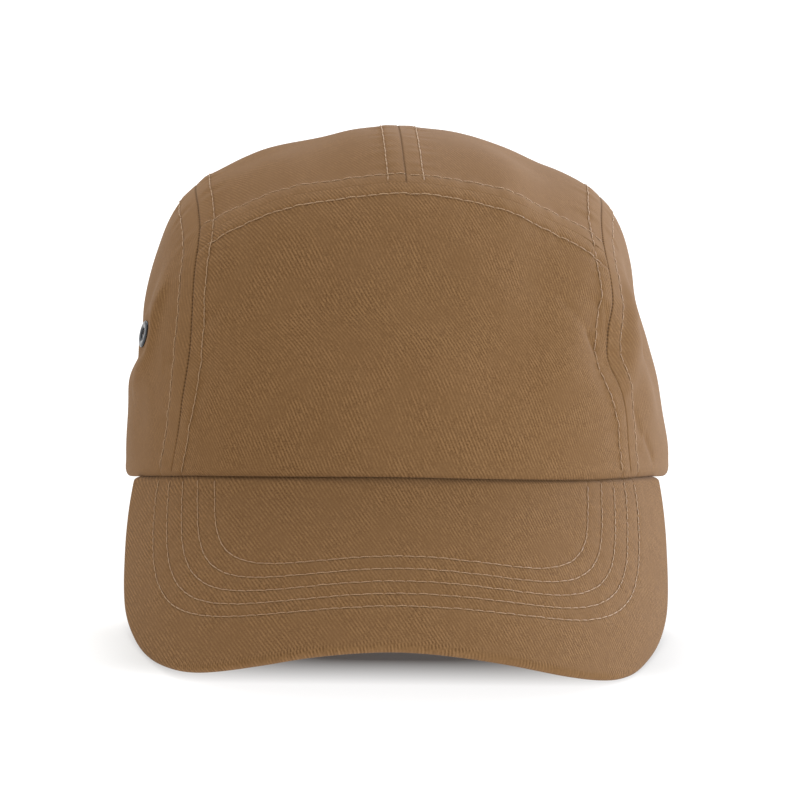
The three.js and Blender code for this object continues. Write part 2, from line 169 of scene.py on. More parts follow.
# Rows of stitching on the peak: superellipses in the flat board, from the outer row inwards.
PEAK_ROWS = 5
PEAK_ROW_HALF_WIDTH = 84.5
PEAK_ROW_LENGTH = 64.7
PEAK_ROW_STEP_LEFT = 6.6
PEAK_ROW_STEP_RIGHT = 5.6
PEAK_ROW_STEP_ALONG = 5
PEAK_ROW_POWER = (2.5, 3.2)
PEAK_ROOT_LEVEL = 0.25
PEAK_ROOT_SINK = 0.55

# Angle round the board, and how far the outer row lies outside the plain one.
PEAK_ROW_TRIM = [
    (-40, 0), (8, 0.3), (25, 1.2), (40, 1.5), (49, 1), (58, 0.4), (75, 0), (220, 0),
]

# Angle round the board, and how far its sewn edge lies outside the plain one.
PEAK_TRIM = [
    (-40, 1.2), (10, 1), (22, -0.1), (30, 0), (38, 1.6), (45, 2.5), (55, 2.4), (67, 1.1),
    (90, -0.4), (108, -0.1), (118, 1), (132, 1.6), (145, 0.3), (158, -0.2), (170, 1), (220, 1.2),
]

# X, and how far the hem and the top of the peak's root lie over the plain rim at the front.
HEM_LIFTS = [
    (-85, 0.3), (-76, 0.6), (-60, 1.15), (-20, 1.3), (0, 1.2), (31, 0.5), (61, 0), (75, 0.3),
    (85, 0.3),
]

# Soft folds that lie on the plain crown, with the columns of the dents.
FOLDS = [
    ((-82, -8, 31), (0, 1, 0), 34, 7.5, -1.5),
    ((-57, -20, 92), (0, 1, 0), 30, 6, -1),
    ((76, -42, 48.5), (0, 1, 0.2), 14, 2, 0.6),
    ((78, -40, 43), (0, 1, 0.2), 14, 3.5, -0.8),
]

# Small creases: both ends as seen from the front, X and Z, then width and depth.
CREASES = [
    (49.5, 56, 61.5, 38, 1.7, 0.5),
    (58.2, 45.5, 61, 37.5, 1.3, 0.45),
    (61.4, 55, 61.9, 41, 0.9, 0.3),
    (63.6, 54, 63.9, 43, 0.9, 0.3),
    (60, 64.5, 64.2, 62.5, 0.9, 0.3),
    (76.5, 13, 80, 5, 1.5, 0.5),
    (72, 22, 76, 12, 1.8, 0.4),
    (-71, 38.2, -67.3, 38.6, 0.9, 0.3),
    (-71, 35.4, -67.5, 36.2, 0.9, 0.35),
    (-71.2, 32.8, -67.8, 33.4, 0.9, 0.3),
    (-52, 52, -60, 47, 2, 0.4),
    (-58, 30, -61, 18, 1.8, 0.35),
    (-71, 60, -77, 38, 2.6, -1),
    (-77, 38, -81, 27, 2.6, -0.9),
]

# Camera, judged from the photo
PICTURE_SIZE = 800
CAMERA_DISTANCE = 1800
SENSOR = 36
FOCAL_PIXELS = 5696.5
CAMERA_OVER_RIM = math.radians(0.3)
RIM_CENTRE_PIXEL = (396, 475)

# Marks of the cloth in millimetres, and how strongly they show. Of four numbers, the first two
# are a low and a high of some noise and the last two are what those turn into.
NEEDLE_PITCH = 1.15
# Swing and middle of the painted shade that dots the seams at each needle hole.
NEEDLE_PAINTED_SHADE = (0.35, 0.4)
TWILL_SLANT = math.radians(63)
RIB_STRENGTH = 0.14
SWAY = 0.7
SLUB_STRENGTH = (0.36, 0.62, 0.03, 0.2)
SLUB_SHARE = 0.45
SPECKLE_SHARE = 0.6
PATCHES = (0.35, 0.65, 0.3, 1)
MOTTLE = 0.22
RUB = 0.3
FUZZ = 0.25
PLY_LENGTH = 0.55

# Colours, judged from the photo
CLOTH_VALLEY = (0.098, 0.044, 0.0138)
CLOTH_RIDGE = (0.25, 0.133, 0.052)
CLOTH_WORN = (0.28, 0.16, 0.074)
# Painted shade in the seams' needle holes and in the grooves beside the stitch rows.
CREVICE_PAINTED_SHADE_COLOUR = (0.03, 0.012, 0.004)
BAND_VALLEY = (0.1, 0.045, 0.016)
BAND_RIDGE = (0.2, 0.105, 0.043)
THREAD_DARK = (0.24, 0.13, 0.055)
THREAD_LIGHT = (0.48, 0.29, 0.14)
NICKEL_DARK = (0.012, 0.013, 0.015)
NICKEL_PALE = (0.085, 0.088, 0.095)
# Colour painted inside the eyelet's bore as a highlight.
NICKEL_PAINTED_HIGHLIGHT = (0.8, 0.8, 0.8)

rng = np.random.default_rng(SEED)


def look_up(rows, column, at):
    """Smooth curve through one column of a table whose first column is the key."""
    table = np.array(rows, float)
    key = table[:, 0]
    value = table[:, column]
    last = len(key) - 1
    before = np.maximum(np.arange(last + 1) - 1, 0)
    after = np.minimum(np.arange(last + 1) + 1, last)
    slope = (value[after] - value[before]) / (key[after] - key[before])
    i = np.clip(np.searchsorted(key, at, side="right") - 1, 0, last - 1)
    span = key[i + 1] - key[i]
    u = np.clip((at - key[i]) / span, 0, 1)
    rise = u * u * (3 - 2 * u)
    line = value[i] * (1 - rise) + value[i + 1] * rise
    return line + span * u * (1 - u) * (slope[i] * (1 - u) - slope[i + 1] * u)


def smooth_step(low, high, at):
    u = np.clip((at - low) / (high - low), 0, 1)
    return u * u * (3 - 2 * u)


def bell(off, width):
    return np.exp(-((off / width) ** 2))


def unit(vectors):
    return vectors / np.linalg.norm(vectors, axis=-1, keepdims=True)


def dot(a, b):
    return (a * b).sum(-1)


def bisect(test, low, high):
    """Where a test stops being true on the way from low to high."""
    for _ in range(30):
        middle = (low + high) / 2
        holds = test(middle)
        low = np.where(holds, middle, low)
        high = np.where(holds, high, middle)
    return (low + high) / 2


def split_along(off, run):
    """Parts of offsets along a direction and aside from it."""
    along = off @ run
    return along, np.sqrt(np.maximum(dot(off, off) - along**2, 0))


def toward(angle, climb):
    """Direction from the rim's centre: section angle about X, and climb from the +X side."""
    a, c = np.broadcast_arrays(np.radians(angle), np.radians(climb))
    return np.stack([np.cos(c), -np.sin(c) * np.cos(a), np.sin(c) * np.sin(a)], -1)


def plain_reach(way):
    """Distance from the rim's centre to the plain crown along unit directions."""
    side = np.abs(way[..., 0])
    across = np.hypot(way[..., 1], way[..., 2])
    turn = np.clip(np.arctan2(way[..., 2], -way[..., 1]), 0, np.pi)
    climb = np.degrees(np.arctan2(across, side))
    power = 2 + SECTION_FULLNESS * np.sin(turn) ** 1.5
    reach = look_up(PROFILE, 1, np.degrees(turn))
    plain = ((side / RIM_HALF_WIDTH) ** power + (across / reach) ** power) ** (-1 / power)
    left = look_up(SHAPING, 1, climb)
    right = look_up(SHAPING, 2, climb)
    return plain + np.where(way[..., 0] < 0, left, right) * np.sin(turn) ** 1.2


def dented(points, dents):
    """How deep soft dents press in at each point."""
    depth = np.zeros(points.shape[:-1])
    for at, run, length, width, deep in dents:
        along, aside = split_along(points - np.array(at), unit(np.array(run, float)))
        depth = depth + deep * bell(along, length) * bell(aside, width)
    return depth


def crown_point(direction):
    way = unit(direction)
    point = way * plain_reach(way)[..., None]
    return point - way * dented(point, DENTS)[..., None]


def crown_normal(direction):
    step = 0.01
    way = unit(direction)
    level = np.abs(way[..., 2:]) < 0.8
    helper = np.where(level, np.array([0.0, 0, 1]), np.array([0.0, 1, 0]))
    first = unit(np.cross(helper, way))
    second = np.cross(way, first)
    along = crown_point(way + first * step) - crown_point(way - first * step)
    across = crown_point(way + second * step) - crown_point(way - second * step)
    return unit(np.cross(along, across))


def on_crown(direction):
    """Points of the crown and their outward normals, level along the rim."""
    point = crown_point(direction)
    normal = crown_normal(direction)
    normal[..., 2] = np.where(point[..., 2] < 0.01, 0, normal[..., 2])
    return point, unit(normal)


def climb_at(angle, x):
    """Climb at which each section reaches its x."""
    start = np.zeros(np.shape(angle))
    return bisect(lambda climb: crown_point(toward(angle, climb))[..., 0] > x, start, start + 180)


SEAM_ANGLES = np.linspace(0, 180, 361)
SEAM_CLIMBS = {
    column: climb_at(SEAM_ANGLES, look_up(SEAMS, column, SEAM_ANGLES))
    for column in (LEFT, MIDDLE, RIGHT)
}


def seam_climb(angle, column):
    return np.interp(angle, SEAM_ANGLES, SEAM_CLIMBS[column])


def arch_x(angle):
    height = np.clip((180 - angle) / ARCH_RISE, 0, 1)
    return ARCH_HALF_WIDTH * np.sqrt(1 - height * height)


# Lines of the sewing


def travelled(points):
    """Distance travelled along a row of points."""
    return np.concatenate([[0], np.cumsum(np.linalg.norm(np.diff(points, axis=0), axis=1))])


def points_at(at, travel, points):
    """Points of a row at distances along it."""
    return np.stack([np.interp(at, travel, points[:, k]) for k in range(3)], -1)


def line_of(points):
    """A line on the cloth, its points a millimetre apart, with their run and travel."""
    length = travelled(points)
    travel = np.linspace(0, length[-1], max(int(length[-1]), 2))
    even = points_at(travel, length, points)
    return {
        "points": even,
        "run": unit(np.gradient(even, axis=0)),
        "travel": travel,
        "phase": rng.uniform(0, 2 * np.pi, 4),
    }


def joined(*lines):
    return {key: np.concatenate([line[key] for line in lines]) for key in lines[0]}


def nearest(points, line):
    """Distance from each point to a line, and the travel along the line where it is met."""
    away = np.empty(len(points))
    travel = np.empty(len(points))
    for start in range(0, len(points), 4000):
        part = points[start : start + 4000]
        gap = part[:, None] - line["points"][None]
        k = (gap**2).sum(-1).argmin(1)
        off = gap[np.arange(len(part)), k]
        ahead = np.clip(dot(off, line["run"][k]), -1, 1)
        away[start : start + 4000] = np.sqrt(np.maximum(dot(off, off) - ahead**2, 0))
        travel[start : start + 4000] = line["travel"][k] + ahead
    return away, travel


def ripple(travel, phase):
    """Uneven waves along a row of stitches, between about -1 and 1."""
    lengths = (5.3, 7.9, 12.7, 21)
    shares = (0.5, 0.6, 0.5, 0.3)
    waves = [s * np.sin(2 * np.pi * travel / n + p) for n, s, p in zip(lengths, shares, phase)]
    return np.sum(waves, axis=0)


def seam_line(column, start=0, end=180):
    angle = np.linspace(start, end, 400)
    return line_of(crown_point(toward(angle, seam_climb(angle, column))))


def front_seam_line():
    climb = np.linspace(seam_climb(FRONT_SEAM, RIGHT), seam_climb(FRONT_SEAM, LEFT), 300)
    return line_of(crown_point(toward(FRONT_SEAM, climb)))


def arch_line():
    angle = 180 - ARCH_RISE * np.cos(np.linspace(0, np.pi / 2, 120))[::-1]
    right = crown_point(toward(angle, climb_at(angle, arch_x(angle))))
    left = crown_point(toward(angle, climb_at(angle, -arch_x(angle))))
    return line_of(np.concatenate([right, left[::-1][1:]]))


LEFT_SEAM = seam_line(LEFT)
RIGHT_SEAM = seam_line(RIGHT)
MIDDLE_SEAM = seam_line(MIDDLE, FRONT_SEAM, 180 - ARCH_RISE)
ACROSS_SEAM = front_seam_line()
ARCH = arch_line()

# Side, word, seam, and how far from the seam the side panel's stitches run.
SIDES = ((-1, "left", LEFT_SEAM, LEFT_SIDE_ROW), (1, "right", RIGHT_SEAM, RIGHT_SIDE_ROW))

# Each panel's edges: the line, how far from it its stitches run, and how round the edge is.
ACROSS_EDGE = (ACROSS_SEAM, SEAM_ROW, FRONT_ROUND)
BOTH_SIDES = (joined(LEFT_SEAM, RIGHT_SEAM), SEAM_ROW, SIDE_ROUND)
TOP_EDGES = [(MIDDLE_SEAM, SEAM_ROW, MIDDLE_ROUND), ACROSS_EDGE, (ARCH, ARCH_ROW, ARCH_ROUND)]
BORDERS = {"front_panel": [BOTH_SIDES, ACROSS_EDGE]}
for _, word, seam, side_row in SIDES:
    BORDERS["top_panel_" + word] = [(seam, SEAM_ROW, SIDE_ROUND), *TOP_EDGES]
    BORDERS["side_panel_" + word] = [(seam, side_row, SIDE_ROUND)]

# How strong the painted shade along a seam is, by how round its edges are.
SEAM_PAINTED_SHADE_LEVELS = {SIDE_ROUND: 1, MIDDLE_ROUND: 0.8}

WAVE_COUNT = 14
WAVE_WAYS = unit(rng.normal(size=(WAVE_COUNT, 3)))
WAVES = {
    "run": WAVE_WAYS * 2 * np.pi / rng.uniform(22, 64, (WAVE_COUNT, 1)),
    "phase": rng.uniform(0, 2 * np.pi, WAVE_COUNT),
}
SLACK = 0.13


def slack(points):
    """Gentle unevenness of soft cloth, less of it close to the rim."""
    waves = np.sin(points @ WAVES["run"].T + WAVES["phase"]).sum(-1)
    return SLACK * waves * (0.25 + 0.75 * smooth_step(2, 30, points[:, 2]))


def hem_lift(points):
    """How far the hem lies over the plain rim; nothing at the back."""
    return look_up(HEM_LIFTS, 1, points[..., 0]) * smooth_step(10, 50, -points[..., 1])


def front_point(x, z):
    """The crown's point that is seen from the front at an X and a Z."""

    def point(turn):
        return crown_point(at_height(np.array([math.copysign(turn, x)]), z))[0]

    return point(bisect(lambda turn: abs(point(turn)[0]) < abs(x), 0, math.pi / 2))


def crease_ends():
    return [(front_point(x1, z1), front_point(x2, z2)) for x1, z1, x2, z2, _, _ in CREASES]


def creasing(points):
    """Depth of the small creases."""
    depth = np.zeros(len(points))
    for (start, end), (*_, width, deep) in zip(CREASE_ENDS, CREASES):
        along, aside = split_along(points - (start + end) / 2, unit(end - start))
        half = np.linalg.norm(end - start) / 2
        faded = 1 - smooth_step(0.6 * half, 1.3 * half, np.abs(along))
        depth += deep * bell(aside, width) * faded
    return depth


def rounding(away, width, depth):
    """Depth of a rounded edge at each distance from it."""
    inside = np.clip(1 - away / width, 0, 1)
    return depth * (1 - np.sqrt(1 - inside**2))


def side_seam_painted_shade(points):
    """Painted shade on the side seams: it fades low down, where they close up, on the right more
    than on the left.
    """
    right = points[:, 0] > 0
    low = np.where(right, 33, 8)
    return 0.15 + 0.85 * smooth_step(low, low + 8, points[:, 2])


def relief(points, borders):
    """Height of the cloth over the plain crown, its wear, its edges' depth and its sewing.

    The sewing is travel along the seam, the strength of the painted shade on the seam line,
    nothing, then the distance to the nearest row of stitches with its side, the plain distance, and
    nothing.
    """
    above_rim = np.abs(points[:, 2])
    raised = 0.3 * (1 - smooth_step(1, 6, above_rim))
    height = slack(points) - creasing(points) - dented(points, FOLDS)
    edge = np.zeros(len(points))
    sewing = np.zeros((len(points), 6))
    sewing[:, 3:5] = FAR
    for line, row, radius in borders:
        away, travel = nearest(points, line)
        edge = np.maximum(edge, rounding(away, radius, radius))
        # Painted shade along the seam line: strongest on it, fading across it.
        if radius in SEAM_PAINTED_SHADE_LEVELS:
            near = SEAM_PAINTED_SHADE_LEVELS[radius] * side_seam_painted_shade(points) * bell(away, 0.36)
            closer = near > sewing[:, 1]
            sewing[closer, :2] = np.stack([travel, near], -1)[closer]
        beside = away - row
        closer = np.abs(beside) < sewing[:, 4]
        sewing[closer, 3:5] = np.stack([beside, np.abs(beside)], -1)[closer]
        raised = np.maximum(raised, ALLOWANCE * (1 - smooth_step(row - 0.9, row + 1.9, away)))
        wide = bell(beside, 4) * smooth_step(0, 2, away)
        height += PUCKER * wide * ripple(travel, line["phase"]) - STITCH_SINK * bell(beside, 0.8)
    at_side = smooth_step(0.55, 0.95, np.abs(points[:, 0]) / RIM_HALF_WIDTH)
    hem_depth = HEM_DEPTH_FRONT + (HEM_DEPTH_SIDE - HEM_DEPTH_FRONT) * at_side
    hem = rounding(above_rim, HEM_ROUND, hem_depth)
    wear = np.clip(edge / SIDE_ROUND, 0, 1) + 0.5 * raised / ALLOWANCE
    return height + raised - np.maximum(edge, hem), wear, edge, sewing


# Placing in the row frame


def corners_of(names):
    """Corners of CAD nodes, in millimetres."""
    parts = []
    for name in names:
        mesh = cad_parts[name].data
        corners = np.empty(len(mesh.vertices) * 3, np.float32)
        mesh.vertices.foreach_get("co", corners)
        parts.append(corners.reshape(-1, 3) / MM)
    return np.concatenate(parts).astype(float)


def stance():
    """How the cap stands: the rim is the plane of the lowest corners of the panels' solids."""
    corners = corners_of(BORDERS)
    up = np.array([0, 0.27, 0.96])
    for margin in (4, 1, 0.1):
        height = corners @ up
        rim = corners[height < height.min() + margin]
        up = np.linalg.svd(rim - rim.mean(0))[2][2]
        up = up * np.sign(up[2])
    tilt = math.asin(up[1])
    roll = math.atan2(up[0], up[2])
    turn = np.array(Matrix.Rotation(roll, 3, "Y") @ Matrix.Rotation(-tilt, 3, "X"))
    angle, climb = np.meshgrid(np.linspace(0, 180, 181), np.linspace(1, 179, 179))
    own = crown_point(toward(angle, climb)).reshape(-1, 3) @ turn.T
    low = corners.min(0) - own.min(0)
    high = corners.max(0) - own.max(0)
    return tilt, roll, turn, np.array([(low[0] + high[0]) / 2, low[1], high[2]])


def to_row(points):
    """Crown's frame in millimetres to the row frame in metres, pressed flat on the ground."""
    placed = (points @ TURN.T + SHIFT) * MM
    placed[..., 2] = np.maximum(placed[..., 2], 0)
    return placed


# Meshes


def new_object(name, data):
    made = bpy.data.objects.new(name, data)
    bpy.context.scene.collection.objects.link(made)
    return made


def new_mesh(name, points, faces, cloth):
    """A smooth mesh in the row frame with its cloth coordinates, and those of its sewing if any."""
    mesh = bpy.data.meshes.new(name)
    mesh.from_pydata(to_row(points).tolist(), [], np.asarray(faces).tolist())
    mesh.update()
    mesh.shade_smooth()
    cloth = np.asarray(cloth, np.float32)
    for start, label in zip(range(0, cloth.shape[-1], 3), ("cloth", "seam", "row")):
        layer = mesh.attributes.new(label, "FLOAT_VECTOR", "POINT")
        layer.data.foreach_set("vector", cloth[:, start : start + 3].ravel())
    return new_object(name, mesh)


def shell(name, outer, inner, cloth, kept=None):
    """A closed wall between two grids of points, with its edges bridged round what is kept."""
    rows, columns = outer.shape[:2]
    if kept is None:
        kept = np.ones((rows - 1, columns - 1), bool)
    at = np.arange(rows * columns).reshape(rows, columns)
    layer = rows * columns
    a, b, c, d = at[:-1, :-1], at[:-1, 1:], at[1:, 1:], at[1:, :-1]
    faces = [np.stack([a, b, c, d], -1)[kept], np.stack([a, d, c, b], -1)[kept] + layer]
    framed = np.pad(kept, 1)
    middle = framed[1:-1, 1:-1]
    sides = [
        (framed[:-2, 1:-1], a, b),
        (framed[1:-1, 2:], b, c),
        (framed[2:, 1:-1], c, d),
        (framed[1:-1, :-2], d, a),
    ]
    for beside, first, second in sides:
        open_edge = middle & ~beside
        first, second = first[open_edge], second[open_edge]
        faces.append(np.stack([second, first, first + layer, second + layer], -1))
    points = np.concatenate([outer.reshape(-1, 3), inner.reshape(-1, 3)])
    both = np.tile(cloth.reshape(layer, -1), (2, 1))
    faces = np.concatenate(faces)
    used, index = np.unique(faces, return_inverse=True)
    return new_mesh(name, points[used], index.reshape(faces.shape), both[used])


def graded(length, step=MESH_STEP):
    """Shares from 0 to 1 a step apart, closer together at both ends for the rounded edges."""
    close = np.array([0, 0.1, 0.25, 0.45, 0.75, 1.15, 1.8, 2.7])
    between = np.linspace(3.7, length - 3.7, max(int((length - 7.4) / step), 2))
    return np.concatenate([close, between, (length - close)[::-1]]) / length


def travel_along(points, axis):
    """Distance travelled along one way of a grid, measured from its middle."""
    step = np.linalg.norm(np.diff(points, axis=axis), axis=-1)
    start = np.zeros_like(np.take(step, [0], axis))
    travel = np.concatenate([start, np.cumsum(step, axis)], axis)
    return travel - np.take(travel, [travel.shape[axis] // 2], axis)


def cloth_grid(point, wear):
    """Cloth coordinates of a grid: across it, along its middle column, and wear."""
    middle = point[:, point.shape[1] // 2 : point.shape[1] // 2 + 1]
    along = np.broadcast_to(travel_along(middle, 0), point.shape[:2])
    return np.stack([travel_along(point, 1), along, wear], -1)


def eyelet_seat(name):
    """Middle and axis of an eyelet; the soft cloth lets it lean from the crown's normal."""
    centre, axis = on_crown(np.array(EYELETS[name], float))
    return centre, unit(axis + np.array(EYELET_LEANS.get(name, (0, 0, 0)), float))


def seated(point, normal, height, centre, axis):
    """Height of the cloth with a flat seat for an eyelet pressed into it."""
    off = point - centre
    radius = np.linalg.norm(off - axis * dot(off, axis)[..., None], axis=-1)
    radius = np.where(np.linalg.norm(off, axis=-1) < 20, radius, 20)
    share = 1 - smooth_step(*EYELET_SEAT_REACH, radius)
    flat = -dot(off, axis) / np.maximum(dot(normal, axis), 0.5)
    return height * (1 - share) + flat * share


ENDS = (slice(None, -1), slice(1, None))
CORNERS = [(rows, columns) for rows in ENDS for columns in ENDS]


def crown_shell(name, direction, side=0, holes=()):
    """One panel of the crown from the directions of its grid; a side panel names its side."""
    point, normal = on_crown(direction)
    shape = point.shape[:2]
    height, wear, edge, sewing = relief(point.reshape(-1, 3), BORDERS[name])
    height, wear, edge = height.reshape(shape), wear.reshape(shape), edge.reshape(shape)
    for hole in holes:
        height = seated(point, normal, height, *eyelet_seat(hole))
    drop = (HEM_DROP - hem_lift(point)) * (1 - smooth_step(0, 4, point[..., 2]))
    drop = drop[..., None] * np.array([0, 0, 1])
    outer = point + normal * height[..., None] - drop
    inner = point - normal * (CLOTH - np.minimum(edge, 0.5))[..., None] - drop
    kept = np.ones((shape[0] - 1, shape[1] - 1), bool)
    for hole in holes:
        centre, axis = eyelet_seat(hole)
        for layer in (outer, inner):
            off = layer - centre
            aside = off - axis * dot(off, axis)[..., None]
            radius = np.linalg.norm(aside, axis=-1)
            if layer is outer:
                kept &= sum(radius[corner] for corner in CORNERS) / 4 > EYELET_HOLE
            snapped = np.zeros(shape, bool)
            for corner in CORNERS:
                snapped[corner] |= ~kept
            near = snapped & (radius < 2 * EYELET_HOLE) & (radius > 0.1)
            layer[near] += (aside * (EYELET_HOLE / np.maximum(radius, 0.1) - 1)[..., None])[near]
    if side:
        cloth = np.stack([point[..., 1] * side, point[..., 2], wear], -1)
    else:
        cloth = cloth_grid(point, wear)
    cloth = np.concatenate([cloth, sewing.reshape(*shape, 6)], -1)
    return shell(name + "_cloth", outer, inner, cloth, kept)


def front_panel():
    u, v = np.meshgrid(graded(FRONT_SIZE[0]), graded(FRONT_SIZE[1]))
    angle = v * (FRONT_SEAM + LAP)
    left = seam_climb(angle, LEFT) + LAP
    right = seam_climb(angle, RIGHT) - LAP
    return crown_shell("front_panel", toward(angle, left + (right - left) * u))


def top_panel(side, word):
    """A top panel; the last third of its grid follows the arch."""
    over_arch = 0.66
    u, v = np.meshgrid(graded(TOP_SIZE[0]), graded(TOP_SIZE[1]))
    start = FRONT_SEAM - LAP
    over = start + (180 - ARCH_RISE - start) * np.minimum(v / over_arch, 1)
    down = np.clip((v - over_arch) / (1 - over_arch), 0, 1) * np.pi / 2
    angle = np.where(v < over_arch, over, 180 - ARCH_RISE * np.cos(down))
    middle = look_up(SEAMS, MIDDLE, angle)
    inner = climb_at(angle[:, 0], (middle + side * arch_x(angle))[:, 0])[:, None] + side * LAP
    outer = seam_climb(angle, RIGHT if side > 0 else LEFT) - side * LAP
    share = u if side > 0 else 1 - u
    return crown_shell("top_panel_" + word, toward(angle, inner + (outer - inner) * share))


def side_panel(side, word):
    u, v = np.meshgrid(graded(SIDE_SIZE[0]), graded(SIDE_SIZE[1]))
    x = (2 * u - 1) * side
    flat_x = x * np.sqrt(1 - v * v / 2)
    flat_y = v * np.sqrt(1 - x * x / 2)
    angle = np.degrees(np.arctan2(flat_y, -flat_x))
    seam = seam_climb(angle, RIGHT if side > 0 else LEFT)
    reach = (seam if side > 0 else 180 - seam) + LAP
    climb = np.hypot(flat_x, flat_y) * reach
    climb = climb if side > 0 else 180 - climb
    holes = [name for name, way in EYELETS.items() if way[0] * side > 0]
    return crown_shell("side_panel_" + word, toward(angle, climb), side, holes)


# Bands inside the crown


def at_height(azimuth, height):
    """Directions to the crown at an azimuth from the front and a height over the rim."""

    def way(tilt):
        level = np.cos(tilt)
        return np.stack([np.sin(azimuth) * level, -np.cos(azimuth) * level, np.sin(tilt)], -1)

    start = np.zeros(np.shape(azimuth))
    tilt = bisect(lambda t: crown_point(way(t))[..., 2] < height, start, start + np.pi / 3)
    return way(np.where(height > 0, tilt, 0))


def back_azimuth(x):
    return math.pi - math.atan2(x, RIM_HALF_LENGTH * math.sqrt(1 - (x / RIM_HALF_WIDTH) ** 2))


def band(name, length, start, end, height, thick, row_at):
    """A strip that follows the inside of the crown, with rounded edges and two sewn rows."""
    u, v = np.meshgrid(graded(length, BAND_STEPS[0]), graded(height, BAND_STEPS[1]))
    point, normal = on_crown(at_height(start + (end - start) * u, v * height))
    away = np.minimum.reduce([v * height, (1 - v) * height, u * length, (1 - u) * length])
    edge = rounding(away, thick / 2, thick / 2)
    rows = bell(v * height - row_at, 0.7) + bell((1 - v) * height - row_at, 0.7)
    travel = u * length
    puff = 0.12 * ripple(travel, BAND_PHASE) * bell(v * height - row_at, 3)
    depth = CLOTH + GAP
    outer = point - normal * (depth + edge + 0.2 * rows)[..., None]
    inner = point - normal * (depth + thick - edge - 0.25 * rows - puff * (away > 1))[..., None]
    nothing = 0 * travel
    beside = np.minimum(v * height, (1 - v) * height) - row_at
    wear = np.clip(edge + 0.3 * rows, 0, 1)
    sewing = [nothing, nothing, nothing, beside, np.abs(beside), nothing]
    return shell(name, outer, inner, np.stack([travel, v * height, wear, *sewing], -1))


# Peak


def flat_points(a, b):
    """Points of the flat board."""
    return np.stack([a, b, 0 * a], -1)


def bend(a, b):
    """Flat board bent round a cylinder that slopes down to the front."""
    turn = a / PEAK_RADIUS
    sink = PEAK_RADIUS * (1 - np.cos(turn))
    forward = PEAK_START + SLOPE_COS * b - SLOPE_SIN * sink
    down = SLOPE_SIN * b + SLOPE_COS * sink
    return np.stack([PEAK_RADIUS * np.sin(turn), -forward, -down], -1)


def bend_under(a):
    """Direction down through the bent board."""
    turn = a / PEAK_RADIUS
    return np.stack([-np.sin(turn), SLOPE_SIN * np.cos(turn), -SLOPE_COS * np.cos(turn)], -1)


def superellipse(angle, half_width, length, power):
    across = np.abs(np.cos(angle)) / half_width
    along = np.abs(np.sin(angle)) / length
    return (across**power + along**power) ** (-1 / power)


def board_reach(angle):
    power = np.where(np.cos(angle) < 0, PEAK_CORNER_LEFT, PEAK_CORNER_RIGHT)
    trim = look_up(PEAK_TRIM, 1, np.degrees(angle))
    return superellipse(angle, PEAK_HALF_WIDTH, PEAK_LENGTH, power) + trim


def board_point(angle, share):
    reach = board_reach(angle) * share
    return reach * np.cos(angle), PEAK_CENTRE + reach * np.sin(angle)


def root_share(angle):
    """Share at which the board dips under the rim."""

    def over(share):
        return bend(*board_point(angle, share))[..., 2] > PEAK_ROOT_LEVEL

    start = np.zeros(np.shape(angle))
    return bisect(over, start, start + 1)


def peak_end(side):
    """Angle past the widest part of the board where its edge runs up to the rim."""

    def below(turn):
        angle = -turn if side > 0 else np.pi + turn
        return bend(*board_point(angle, 1))[..., 2] < -GAP - PEAK_END_DEPTH

    return float(bisect(below, 0, np.pi / 4))


def tuck(root):
    """Shift that carries the board's root from the cylinder to just inside the rim."""
    flat = root * np.array([1, 1, 0])
    way = unit(flat)
    return way * (plain_reach(way) - PEAK_TUCK)[..., None] - flat


ROOT_ANGLES = np.linspace(-0.6, math.pi + 0.6, 600)
ROOT_SHARES = root_share(ROOT_ANGLES)


def on_peak(a, b):
    """Top face of the peak at points of the flat board, and the way down through it."""
    angle = np.arctan2(b - PEAK_CENTRE, a)
    angle = np.where(angle < -np.pi / 2, angle + 2 * np.pi, angle)
    share = np.hypot(a, b - PEAK_CENTRE) / board_reach(angle)
    start = np.interp(angle, ROOT_ANGLES, ROOT_SHARES)
    fade = np.clip((1 - share) / (1 - start), 0, 1) ** 2
    root = bend(*board_point(angle, start))
    from_root = (share - start) * board_reach(angle)
    sink = PEAK_ROOT_SINK * (1 - smooth_step(0.5, 4, from_root))
    point = bend(a, b) + tuck(root) * fade[..., None] + bend_under(a) * sink[..., None]
    point[..., 2] += hem_lift(point) * (1 - smooth_step(0, 12, from_root))
    return point, bend_under(a)


def row_reach(k, angle):
    """Reach of a row of stitching from the board's centre; the outer row is the first."""
    power = PEAK_ROW_POWER[0] + (PEAK_ROW_POWER[1] - PEAK_ROW_POWER[0]) * k / (PEAK_ROWS - 1)
    step_across = np.where(np.cos(angle) < 0, PEAK_ROW_STEP_LEFT, PEAK_ROW_STEP_RIGHT)
    half_width = PEAK_ROW_HALF_WIDTH - step_across * k
    trim = look_up(PEAK_ROW_TRIM, 1, np.degrees(angle)) * (1 - 0.1 * k)
    return superellipse(angle, half_width, PEAK_ROW_LENGTH - PEAK_ROW_STEP_ALONG * k, power) + trim


def peak_rows():
    """Rows of stitching in the flat board."""
    rows = []
    angle = np.linspace(-0.6, math.pi + 0.6, 900)
    for k in range(PEAK_ROWS):
        reach = row_reach(k, angle)
        a, b = reach * np.cos(angle), PEAK_CENTRE + reach * np.sin(angle)
        below = bend(a, b)[:, 2] < -GAP - 0.4
        rows.append(line_of(flat_points(a, b)[below][::-1]))
    return rows


PEAK_EDGE_ROUND = PEAK_THICK / 2
PEAK_PUFF = 0.12


